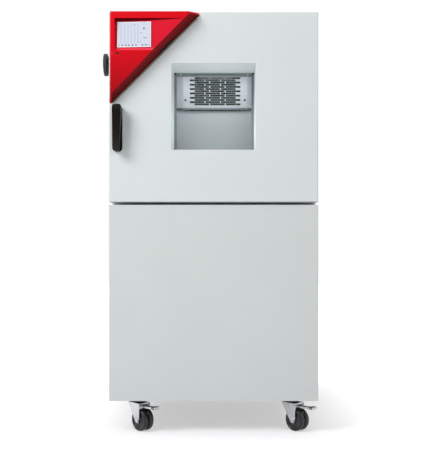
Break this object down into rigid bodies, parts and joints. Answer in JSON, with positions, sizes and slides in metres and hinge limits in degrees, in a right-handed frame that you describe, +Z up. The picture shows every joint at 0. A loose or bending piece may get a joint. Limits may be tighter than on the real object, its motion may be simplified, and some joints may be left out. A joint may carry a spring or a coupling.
{
  "type": "environmental test chamber",
  "caption": "Floor-standing environmental test chamber: insulated upper box with hinged window door and corner controller, on a machinery base with castors.",
  "frame": {"origin": "on the floor under the middle of the base box", "axes": "+X to the right seen from the front, +Y to the back, +Z up; the door faces -Y"},
  "size_m": [0.8164, 0.867, 1.49],
  "materials": {
    "body_paint": "powder coat",
    "frame_steel": "painted",
    "foam": "rigid foam",
    "stainless": "brushed",
    "seal_rubber": "matt",
    "fin_aluminium": "plain",
    "motor_aluminium": "cast",
    "port_plastic": "matt",
    "plug_rubber": "matt",
    "window_glass": "clear",
    "controller_red": "semi-gloss",
    "lens_black": "gloss",
    "pale_seal": "matt",
    "display": "satin",
    "circuit_board": "matt",
    "handle_black": "matt",
    "latch_steel": "plain",
    "compressor_black": "painted",
    "galvanised": "galvanised",
    "fan_plastic": "matt",
    "copper": "drawn",
    "wiring_box": "painted",
    "inlet_plastic": "matt",
    "drain_plastic": "matt",
    "zinc": "zinc plated",
    "wheel_rubber": "matt"
  },
  "bodies": {
    "cabinet": {"base_front_panel": "body_paint", "base_side_panel_left": "body_paint", "base_side_panel_right": "body_paint", "base_rear_panel": "body_paint", "upper_casing": "body_paint", "upper_rear_panel": "body_paint", "base_frame": "frame_steel", "hinge_brackets": "frame_steel", "striker_plate": "frame_steel", "cabinet_foam": "foam", "chamber_liner": "stainless", "fan_cover": "stainless", "lower_wall_panel": "stainless", "shelf_rails": "stainless", "wire_shelf": "stainless", "temperature_probe": "stainless", "heater_coil": "stainless", "mouth_frame": "seal_rubber", "evaporator_coil": "fin_aluminium", "condenser_coil": "fin_aluminium", "fan_motor": "motor_aluminium", "port_tube": "port_plastic", "compressor": "compressor_black", "receiver_and_drier": "compressor_black", "fan_shroud": "galvanised", "refrigerant_pipes": "copper", "electrical_box": "wiring_box", "power_inlet": "inlet_plastic", "switch_plate": "inlet_plastic", "drain_pipe": "drain_plastic", "castor_plates": "zinc"},
    "door": {"door_outer_shell": "body_paint", "door_foam": "foam", "door_inner_shell": "stainless", "door_gasket": "seal_rubber", "window_panes": "window_glass", "window_seal": "seal_rubber", "hinge_pins": "frame_steel", "controller_housing": "controller_red", "indicator_lens": "lens_black", "controller_gasket": "pale_seal", "display_panel": "display", "controller_board": "circuit_board", "handle_base": "handle_black"},
    "handle": {"handle_lever": "handle_black"},
    "latch": {"latch_bolt": "latch_steel"},
    "port_plug": {"port_plug": "plug_rubber"},
    "main_switch": {"switch_knob": "inlet_plastic"},
    "circulation_fan": {"circulation_fan": "motor_aluminium"},
    "condenser_fan": {"condenser_fan": "fan_plastic"},
    "fork_front_left": {"castor_fork_front_left": "zinc"},
    "wheel_front_left": {"castor_wheel_front_left": "wheel_rubber"},
    "fork_front_right": {"castor_fork_front_right": "zinc"},
    "wheel_front_right": {"castor_wheel_front_right": "wheel_rubber"},
    "fork_rear_left": {"castor_fork_rear_left": "zinc"},
    "wheel_rear_left": {"castor_wheel_rear_left": "wheel_rubber"},
    "fork_rear_right": {"castor_fork_rear_right": "zinc"},
    "wheel_rear_right": {"castor_wheel_rear_right": "wheel_rubber"},
    "pedal_front_left": {"brake_pedal_front_left": "zinc"},
    "pedal_front_right": {"brake_pedal_front_right": "zinc"}
  },
  "joints": [
    {"name": "door_hinge", "type": "hinge", "parent": "cabinet", "child": "door", "pos_m": [0.352, -0.345, 1.15], "axis": [0, 0, 1], "range_deg": [0, 110]},
    {"name": "handle_pull", "type": "hinge", "parent": "door", "child": "handle", "pos_m": [-0.339, -0.424, 1.139], "axis": [-1, 0, 0], "range_deg": [0, 40]},
    {"name": "latch_slide", "type": "slide", "parent": "door", "child": "latch", "axis": [1, 0, 0], "range_m": [0, 0.012]},
    {"name": "port_plug_pull", "type": "slide", "parent": "cabinet", "child": "port_plug", "axis": [-1, 0, 0], "range_m": [0, 0.12]},
    {"name": "main_switch_turn", "type": "hinge", "parent": "cabinet", "child": "main_switch", "pos_m": [0.385, 0.25, 0.7], "axis": [1, 0, 0], "range_deg": [0, 90]},
    {"name": "circulation_fan_spin", "type": "hinge", "parent": "cabinet", "child": "circulation_fan", "pos_m": [0, 0.171, 1.31], "axis": [0, 1, 0], "continuous": true},
    {"name": "condenser_fan_spin", "type": "hinge", "parent": "cabinet", "child": "condenser_fan", "pos_m": [-0.1, 0.322, 0.5], "axis": [0, 1, 0], "continuous": true},
    {"name": "castor_swivel_front_left", "type": "hinge", "parent": "cabinet", "child": "fork_front_left", "pos_m": [-0.278, -0.325, 0.1], "axis": [0, 0, 1], "continuous": true},
    {"name": "wheel_spin_front_left", "type": "hinge", "parent": "fork_front_left", "child": "wheel_front_left", "pos_m": [-0.25549, -0.34913, 0.04], "axis": [0.7314, 0.682, 0], "continuous": true},
    {"name": "brake_press_front_left", "type": "hinge", "parent": "fork_front_left", "child": "pedal_front_left", "pos_m": [-0.25208, -0.35279, 0.09], "axis": [0.7314, 0.682, 0], "range_deg": [0, 10]},
    {"name": "castor_swivel_front_right", "type": "hinge", "parent": "cabinet", "child": "fork_front_right", "pos_m": [0.278, -0.325, 0.1], "axis": [0, 0, 1], "continuous": true},
    {"name": "wheel_spin_front_right", "type": "hinge", "parent": "fork_front_right", "child": "wheel_front_right", "pos_m": [0.30051, -0.34913, 0.04], "axis": [0.7314, 0.682, 0], "continuous": true},
    {"name": "brake_press_front_right", "type": "hinge", "parent": "fork_front_right", "child": "pedal_front_right", "pos_m": [0.30392, -0.35279, 0.09], "axis": [0.7314, 0.682, 0], "range_deg": [0, 10]},
    {"name": "castor_swivel_rear_left", "type": "hinge", "parent": "cabinet", "child": "fork_rear_left", "pos_m": [-0.278, 0.325, 0.1], "axis": [0, 0, 1], "continuous": true},
    {"name": "wheel_spin_rear_left", "type": "hinge", "parent": "fork_rear_left", "child": "wheel_rear_left", "pos_m": [-0.30791, 0.33895, 0.04], "axis": [-0.4226, -0.9063, 0], "continuous": true},
    {"name": "castor_swivel_rear_right", "type": "hinge", "parent": "cabinet", "child": "fork_rear_right", "pos_m": [0.278, 0.325, 0.1], "axis": [0, 0, 1], "continuous": true},
    {"name": "wheel_spin_rear_right", "type": "hinge", "parent": "fork_rear_right", "child": "wheel_rear_right", "pos_m": [0.30901, 0.33629, 0.04], "axis": [-0.342, 0.9397, 0], "continuous": true}
  ],
  "couplings": [
    {"joint": "latch_slide", "follows": "handle_pull", "m_per_rad": 0.017}
  ]
}
